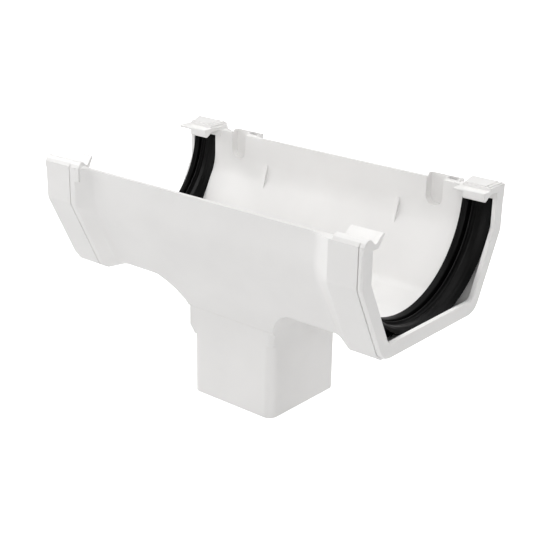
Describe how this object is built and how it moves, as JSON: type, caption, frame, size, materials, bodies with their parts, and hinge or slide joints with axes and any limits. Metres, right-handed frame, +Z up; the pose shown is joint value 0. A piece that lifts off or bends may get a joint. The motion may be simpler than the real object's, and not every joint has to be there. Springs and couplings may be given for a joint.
{
  "type": "running gutter outlet",
  "caption": "White plastic running outlet for a half-round gutter, with black rubber seals at both ends and a square spout",
  "frame": {"origin": "Centre of the bottom face of the square spout. X runs along the gutter, -Y is the front (away from the roof), +Z is up.", "axes": "+X right along the gutter, +Y towards the fascia board, +Z up"},
  "size_m": [0.229, 0.1314, 0.138],
  "materials": {
    "white_plastic": "satin to semi-gloss moulded white plastic",
    "seal_rubber": "matt black moulded rubber"
  },
  "bodies": {
    "root": {"outlet_body": "white_plastic", "left_frame": "white_plastic", "right_frame": "white_plastic", "left_seal": "seal_rubber", "right_seal": "seal_rubber"}
  },
  "joints": []
}
